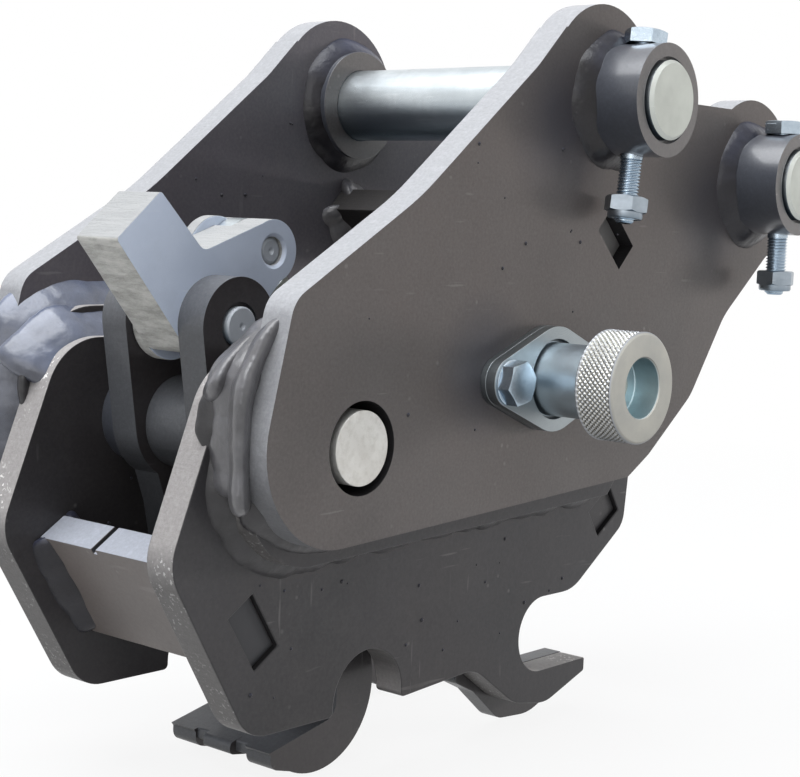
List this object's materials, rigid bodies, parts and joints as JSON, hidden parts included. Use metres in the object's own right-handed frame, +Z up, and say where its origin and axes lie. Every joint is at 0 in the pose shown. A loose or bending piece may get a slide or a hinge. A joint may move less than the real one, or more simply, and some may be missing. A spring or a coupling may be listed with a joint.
{
  "type": "quick hitch for a small excavator",
  "caption": "Manual quick hitch for a small excavator: side plates with stick and link pins, a fixed rear jaw, a sprung front hook and a pull-out lock plunger.",
  "frame": {"origin": "on the stick pin's axis, midway across the hitch", "axes": "+Y along the stick pin, away from the lock plunger's side; +X from the stick pin towards the link pin; +Z up, away from the bucket pins"},
  "size_m": [0.3977, 0.2621, 0.3401],
  "materials": {
    "plate_paint": "semi-gloss dark brown-grey paint",
    "plate_paint_cool": "semi-gloss charcoal paint",
    "boss_paint": "satin charcoal paint",
    "zinc": "bright zinc plate",
    "bare_steel": "turned bare steel",
    "lever_steel": "bare steel with flame-cut edges",
    "cylinder_black": "gloss black paint"
  },
  "bodies": {
    "frame": {"upper_plate_near": "plate_paint", "upper_plate_far": "plate_paint", "spacer_near": "plate_paint", "spacer_far": "plate_paint", "lower_plate_near": "plate_paint_cool", "lower_plate_far": "plate_paint_cool", "front_tie": "plate_paint_cool", "rear_tie": "plate_paint_cool", "upper_tie": "plate_paint", "jaw_doubler_near": "plate_paint_cool", "jaw_doubler_far": "plate_paint_cool", "stick_boss_near": "boss_paint", "stick_boss_far": "boss_paint", "link_boss_near": "boss_paint", "link_boss_far": "boss_paint", "stick_collar_near": "boss_paint", "stick_collar_far": "boss_paint", "link_collar_near": "boss_paint", "link_collar_far": "boss_paint", "stick_pin": "zinc", "link_pin": "zinc", "stick_bolt": "zinc", "link_bolt": "zinc", "stick_nut": "zinc", "link_nut": "zinc", "pivot_pin": "bare_steel", "pivot_ring_near": "bare_steel", "pivot_ring_far": "bare_steel", "anchor_stud": "bare_steel", "anchor_sleeve": "plate_paint_cool", "lock_pad": "plate_paint", "lock_barrel": "zinc", "flange_bolt_front": "zinc", "flange_bolt_rear": "zinc"},
    "hook": {"hook_cheek_near": "plate_paint_cool", "hook_cheek_far": "plate_paint_cool", "hook_tube": "plate_paint_cool", "toe_block": "plate_paint_cool", "lever_pin": "bare_steel", "lever_block": "lever_steel", "lever_side_plate": "lever_steel", "clevis_pin": "bare_steel"},
    "strut": {"strut_cylinder": "cylinder_black", "strut_gland": "zinc"},
    "rod": {"strut_rod": "zinc"},
    "plunger": {"plunger": "zinc", "pull_knob": "zinc"}
  },
  "joints": [
    {"name": "hook_hinge", "type": "hinge", "parent": "frame", "child": "hook", "pos_m": [-0.161, 0, -0.146], "axis": [0, -1, 0], "range_deg": [0, 24], "stiffness_Nm_per_rad": 30, "springref_deg": -17.19},
    {"name": "strut_swing", "type": "hinge", "parent": "frame", "child": "strut", "pos_m": [-0.086, 0.004, -0.131], "axis": [0, -1, 0], "range_deg": [0, 12.2]},
    {"name": "strut_slide", "type": "slide", "parent": "strut", "child": "rod", "axis": [-0.6752, 0, 0.7377], "range_m": [0, 0.026]},
    {"name": "plunger_slide", "type": "slide", "parent": "frame", "child": "plunger", "axis": [0, -1, 0], "range_m": [0, 0.012], "stiffness_N_per_m": 1500, "springref_m": -0.01}
  ],
  "couplings": [
    {"joint": "strut_swing", "follows": "hook_hinge", "ratio": 0.504},
    {"joint": "strut_slide", "follows": "hook_hinge", "m_per_rad": 0.061634}
  ]
}
